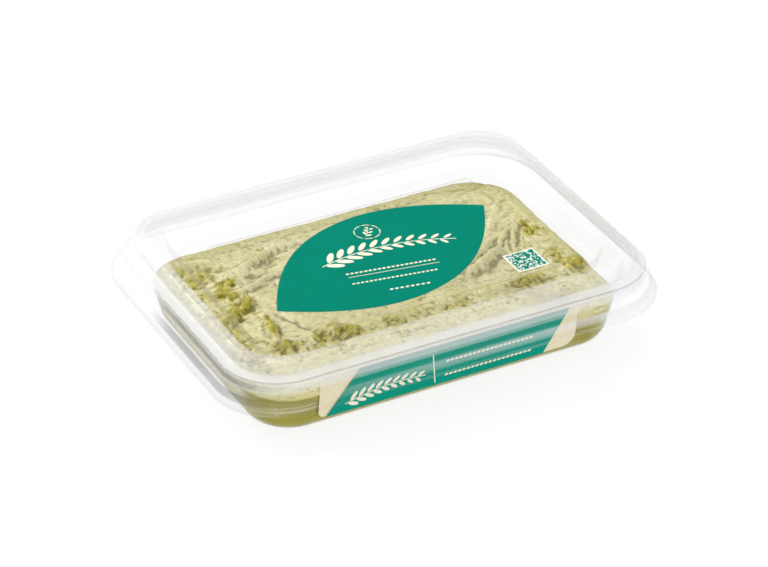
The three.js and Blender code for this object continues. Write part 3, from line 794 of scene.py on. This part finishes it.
marks = Layout("marks_along_path")
for name, kind in (("Start", "Vector"), ("Middle", "Vector"), ("End", "Vector"), ("Count", "Int")):
    marks.ask(name, kind)
for name in ("Length", "Width", "Turn", "Taper"):
    marks.ask(name, "Float")
marks.ask("Line", "Bool")
marks.ask("Ink", "Material")
marks.ask("Marks", "Geometry", "OUTPUT")
asked = marks.node("NodeGroupInput", output="Start")
path_sockets = {"Start": asked, "Middle": asked.other("Middle"), "End": asked.other("End")}
bent_path = marks.node("GeometryNodeCurveQuadraticBezier", None, {"Resolution": 24, **path_sockets})
spot_sockets = {"Curve": bent_path, "Count": asked.other("Count")}
spots = marks.node("GeometryNodeCurveToPoints", {"mode": "COUNT"}, spot_sockets, "Points")
forward_settings = {"axis": "X", "pivot_axis": "Z"}
forward_sockets = {"Vector": spots.other("Tangent")}
forward = marks.node("FunctionNodeAlignRotationToVector", forward_settings, forward_sockets)
aside = marks.node("ShaderNodeCombineXYZ", None, {"Z": asked.other("Turn")})
aside = marks.node("FunctionNodeEulerToRotation", None, {"Euler": aside})
turned = marks.node(
    "FunctionNodeRotateRotation", {"rotation_space": "LOCAL"}, {"Rotation": forward, "Rotate By": aside}
)
dot = marks.node("GeometryNodeMeshCircle", {"fill_type": "NGON"}, {"Vertices": 18, "Radius": 0.5})
bar_sockets = {"Size X": 1.0, "Size Y": 1.0, "Vertices X": 2, "Vertices Y": 2}
bar = marks.node("GeometryNodeMeshGrid", None, bar_sockets)
shape_sockets = {"Switch": asked.other("Line"), "False": dot, "True": bar}
shape = marks.node("GeometryNodeSwitch", {"input_type": "GEOMETRY"}, shape_sockets)
size_sockets = {"X": asked.other("Length"), "Y": asked.other("Width"), "Z": 1.0}
mark_size = marks.node("ShaderNodeCombineXYZ", None, size_sockets)
mark_root = marks.node("ShaderNodeCombineXYZ", None, {"X": 0.5 * asked.other("Length")})
mark_sockets = {"Geometry": shape, "Translation": mark_root, "Scale": mark_size}
mark = marks.node("GeometryNodeTransform", None, mark_sockets)
order = marks.node("GeometryNodeInputIndex")
mark_scale = 1.0 - asked.other("Taper") * order
instance_sockets = {"Points": spots, "Instance": mark, "Rotation": turned, "Scale": mark_scale}
laid = marks.node("GeometryNodeInstanceOnPoints", None, instance_sockets)
whole = marks.node("GeometryNodeRealizeInstances", None, {"Geometry": laid})
inked = marks.node("GeometryNodeSetMaterial", None, {"Geometry": whole, "Material": asked.other("Ink")})
marks.node("NodeGroupOutput", None, {"Marks": inked}, None)


def path_length(start, middle, end):
    """Length of a bent path, in the units of its ends."""
    share = np.linspace(0.0, 1.0, 33)[:, None]
    path = (1 - share) ** 2 * start + 2 * share * (1 - share) * middle + share**2 * end
    return float(np.linalg.norm(np.diff(path, axis=0), axis=1).sum())


def printed_marks(name, material, where, rows):
    """Flat printed marks in rows: a bent path, count, length or None for a line, width, turn and taper."""
    carrier = bpy.data.objects.new(name, bpy.data.meshes.new(name))
    bpy.context.scene.collection.objects.link(carrier)
    modifier = carrier.modifiers.new("marks", "NODES")
    modifier.node_group = marks.tree
    sockets = {item.name: item.identifier for item in marks.tree.interface.items_tree}
    points = []
    faces = []
    for start, middle, end, count, length, width, turn_deg, taper in rows:
        for label, place in (("Start", start), ("Middle", middle), ("End", end)):
            modifier[sockets[label]] = (place[0] * mm, place[1] * mm, 0.0)
        line_step = path_length(np.array(start), np.array(middle), np.array(end)) / (count - 1)
        modifier[sockets["Count"]] = count
        modifier[sockets["Line"]] = length is None
        modifier[sockets["Length"]] = (length or line_step) * mm
        modifier[sockets["Width"]] = width * mm
        modifier[sockets["Turn"]] = math.radians(turn_deg)
        modifier[sockets["Taper"]] = taper
        modifier[sockets["Ink"]] = material
        carrier.update_tag()
        depsgraph = bpy.context.evaluated_depsgraph_get()
        row_mesh = bpy.data.meshes.new_from_object(carrier.evaluated_get(depsgraph))
        faces += [[index + len(points) for index in polygon.vertices] for polygon in row_mesh.polygons]
        points += [tuple(where @ vertex.co) for vertex in row_mesh.vertices]
        bpy.data.meshes.remove(row_mesh)
    carrier.modifiers.remove(modifier)
    mesh = bpy.data.meshes.new(name)
    mesh.from_pydata(points, [], faces)
    mesh.materials.append(material)
    carrier.data = mesh
    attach(carrier, "root")


def ring_rows(x, y, radius, width):
    """A thin ring as eight bent lines."""
    rows = []
    for eighth in range(8):
        start, middle, end = [math.radians(45.0 * eighth + turn) for turn in (0.0, 22.5, 44.0)]
        out = radius / math.cos(math.radians(22.5))
        bends = ((radius, start), (out, middle), (radius, end))
        places = [(x + reach * math.cos(turn), y + reach * math.sin(turn)) for reach, turn in bends]
        rows.append((*places, 6, None, width, 0, 0.0))
    return rows


leaf_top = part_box("leaf_print")[1].z
leaf_rows = [
    ((-27, 3.4), (4, 12.4), (33, -1.6), 40, None, 0.5, 0, 0.0),
    ((-23, 5.2), (4, 13.0), (30, 0.8), 11, 8.0, 2.9, 40, 0.045),
    ((-25, 3.5), (4, 11.6), (28, 0.2), 11, 8.0, 2.9, -40, 0.045),
    ((-21, -6.6), (-2, -9.8), (17, -13.0), 20, 1.6, 1.2, 12, 0.0),
    ((-22, -14.6), (-4, -17.6), (14, -20.6), 20, 1.5, 1.1, 12, 0.0),
    ((-21, -9.2), (-2, -12.4), (17, -15.6), 20, None, 0.35, 0, 0.0),
    ((-10, -25.6), (-2, -27.0), (6, -28.4), 8, 1.7, 1.2, 12, 0.0),
    ((1.0, 17.2), (3.2, 19.8), (4.8, 23.2), 12, None, 0.4, 0, 0.0),
    ((1.6, 18.4), (3.2, 20.0), (4.4, 22.0), 3, 2.6, 1.1, 48, 0.1),
    ((1.2, 17.4), (3.4, 19.6), (4.6, 21.4), 3, 2.6, 1.1, -48, 0.1),
]
leaf_plane = Matrix.Translation((0, 0, leaf_top + 0.05 * mm))
printed_marks("leaf_marks", cream, leaf_plane, leaf_rows + ring_rows(3.0, 20.2, 5.6, 0.45))

# Square print
# A small white square printed on the film beside the leaf, filled with scattered teal blocks that
# follow a fixed random pick for each cell, with a plain white margin round them.
block = 0.6 * mm
square_low, square_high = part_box("square_print")
square_middle = (square_low + square_high) / 2
square_finish = Finish("square_print")
square_place = square_finish.node(
    "ShaderNodeVectorMath", {"operation": "SUBTRACT"}, {0: square_finish.place(), 1: tuple(square_middle)}
)
square_cells = square_finish.node(
    "ShaderNodeVectorMath", {"operation": "SCALE"}, {0: square_place, "Scale": 1.0 / block}
)
square_cell = square_finish.node("ShaderNodeVectorMath", {"operation": "FLOOR"}, {0: square_cells})
square_flat = square_finish.node(
    "ShaderNodeVectorMath", {"operation": "MULTIPLY"}, {0: square_cell, 1: (1.0, 1.0, 0.0)}
)
square_pick = square_finish.node("ShaderNodeTexWhiteNoise", None, {"Vector": square_flat}, "Value")
square_reach = square_finish.node("ShaderNodeVectorMath", {"operation": "ABSOLUTE"}, {0: square_place})
square_sides = square_finish.node("ShaderNodeSeparateXYZ", None, {"Vector": square_reach}, "X")
square_half = 11.0 * block
square_field = (square_half > square_sides) * (square_half > square_sides.other("Y"))
square_teal = (square_pick > 0.27) * square_field
square_cloud = square_finish.noise(90.0, 4.0, 0.6)
square_white = square_finish.blend(square_cloud, linear(236, 236, 226), linear(228, 230, 218))
square_ink = square_finish.blend(square_cloud, linear(0, 129, 109), linear(0, 122, 103))
square_color = square_finish.blend(square_teal, square_white, square_ink)
square_sockets = {"Base Color": square_color, "Roughness": 0.5, "Specular IOR Level": 0.04}
square_surface = square_finish.node("ShaderNodeBsdfPrincipled", None, square_sockets)
square_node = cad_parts["square_print"]
square_node.data.materials.clear()
square_node.data.materials.append(square_finish.done(square_surface))

# Front label
# Cream paper label stuck on the leaning front wall, with a slanting teal field printed across it.
# A cream sprig, an upright line and two rows of dots lie on the field as a second print.
label_paper = ink("cream_label", (224, 214, 182), (219, 207, 174), 0.5)
label_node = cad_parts["front_label"]
label_node.data.materials.clear()
label_node.data.materials.append(label_paper)
label_low_z = 7.7 * mm
label_high_z = 31.0 * mm
label_low_y = wall_x(label_low_z) - side_difference(label_low_z)
label_high_y = wall_x(label_high_z) - side_difference(label_high_z)
label_lean = math.atan2(label_high_y - label_low_y, label_high_z - label_low_z)
ink_out = 1.15 * mm
wall_plane = Matrix.Translation((0, -label_low_y, label_low_z))
wall_plane = wall_plane @ Matrix.Rotation(math.pi / 2 + label_lean, 4, "X")
wall_plane = wall_plane @ Matrix.Translation((0, 0, ink_out))
band_rows = [
    ((-50, 4.2), (-33, 10), (-14, 7.6), 30, None, 0.45, 0, 0.0),
    ((-47.5, 5.3), (-33, 10.4), (-16.5, 8.2), 9, 5.2, 2.0, 40, 0.04),
    ((-48.5, 4.3), (-33, 9.4), (-17.5, 7.4), 9, 5.2, 2.0, -40, 0.04),
    ((-7.9, 1.5), (-9.0, 9.0), (-10.1, 16.6), 12, None, 0.5, 0, 0.0),
    ((-3.6, 11.8), (16, 11.6), (36, 11.4), 20, 1.7, 1.2, 12, 0.0),
    ((-3.6, 4.2), (16, 4.1), (36, 4.0), 20, 1.7, 1.2, 12, 0.0),
]
printed_marks("band_marks", cream, wall_plane, band_rows)

# Floor, light and camera
# A plain white table lit from within, under soft studio light, seen through the photo's long lens.
# A dark opening in the white studio stands where the lid's panel mirrors it, so the panel stays clear.
floor_half = 3.0
floor_drop = 0.1 * mm
floor_mesh = bpy.data.meshes.new("floor")
floor_ends = (-floor_half, floor_half)
floor_corners = [(x, y, -floor_drop) for x in floor_ends for y in floor_ends]
floor_mesh.from_pydata(floor_corners, [], [(0, 2, 3, 1)])
floor = bpy.data.objects.new("floor", floor_mesh)
bpy.context.scene.collection.objects.link(floor)
floor_finish = Finish("floor")
floor_mottle = floor_finish.noise(6.0, 2.0, 0.5)
floor_color = floor_finish.blend(floor_mottle, (0.10, 0.10, 0.10, 1), (0.11, 0.11, 0.11, 1))
floor_sockets = {
    "Base Color": floor_color,
    "Roughness": 0.8,
    "Emission Color": (1.0, 1.0, 1.0, 1.0),
    "Emission Strength": 0.865,
}
floor_surface = floor_finish.node("ShaderNodeBsdfPrincipled", None, floor_sockets)
floor_mesh.materials.append(floor_finish.done(floor_surface))

opening_toward = (0.394, 0.750, 0.532)
opening_outer_edge = 0.80
opening_inner_edge = 0.95
white_studio = 0.9
dark_opening = 0.06
world = bpy.data.worlds.new("studio")
world.use_nodes = True
studio = world.node_tree
background = studio.nodes["Background"]
ray = studio.nodes.new("ShaderNodeTexCoord")
toward = studio.nodes.new("ShaderNodeVectorMath")
toward.operation = "DOT_PRODUCT"
toward.inputs[1].default_value = opening_toward
studio.links.new(ray.outputs["Generated"], toward.inputs[0])
opening = studio.nodes.new("ShaderNodeMapRange")
opening.inputs["From Min"].default_value = opening_outer_edge
opening.inputs["From Max"].default_value = opening_inner_edge
opening.inputs["To Min"].default_value = white_studio
opening.inputs["To Max"].default_value = dark_opening
studio.links.new(toward.outputs["Value"], opening.inputs["Value"])
studio.links.new(opening.outputs["Result"], background.inputs["Strength"])
background.inputs["Color"].default_value = (1.0, 1.0, 1.0, 1.0)
bpy.context.scene.world = world


def softbox(name, place, aim, width, height, power):
    """A soft rectangular studio light that faces its aim."""
    light = bpy.data.lights.new(name, "AREA")
    light.shape = "RECTANGLE"
    light.size = width
    light.size_y = height
    light.energy = power
    lamp = bpy.data.objects.new(name, light)
    lamp.location = place
    lamp.rotation_euler = (Vector(aim) - Vector(place)).to_track_quat("-Z", "Y").to_euler()
    bpy.context.scene.collection.objects.link(lamp)
    return lamp


softbox("key_light", (-0.45, 0.95, 1.05), (0, 0, 0.02), 0.6, 0.5, 13.5)
softbox("top_light", (0.1, -0.1, 1.5), (0, 0, 0), 1.2, 1.0, 2.6)
softbox("front_light", (-0.9, -1.7, 0.9), (0, 0, 0.02), 0.8, 0.6, 5.5)

view_azimuth = math.radians(-27.72)
view_elevation = math.radians(32.14)
view_distance = 1.5030
view_right = 0.00058
view_up = 0.01762
view_lens = 163.6
back = Vector(
    (
        math.sin(view_azimuth) * math.cos(view_elevation),
        -math.cos(view_azimuth) * math.cos(view_elevation),
        math.sin(view_elevation),
    )
)
right = (-back).cross(Vector((0, 0, 1))).normalized()
up = right.cross(-back)
lens = bpy.data.cameras.new("camera")
lens.lens = view_lens
lens.sensor_width = 36.0
lens.clip_end = 20.0
camera = bpy.data.objects.new("camera", lens)
camera.location = back * view_distance + right * view_right + up * view_up
camera.rotation_euler = (-back).to_track_quat("-Z", "Y").to_euler()
bpy.context.scene.collection.objects.link(camera)
bpy.context.scene.camera = camera
bpy.context.scene.view_settings.view_transform = "Standard"
bpy.context.scene.cycles.transparent_max_bounces = 32
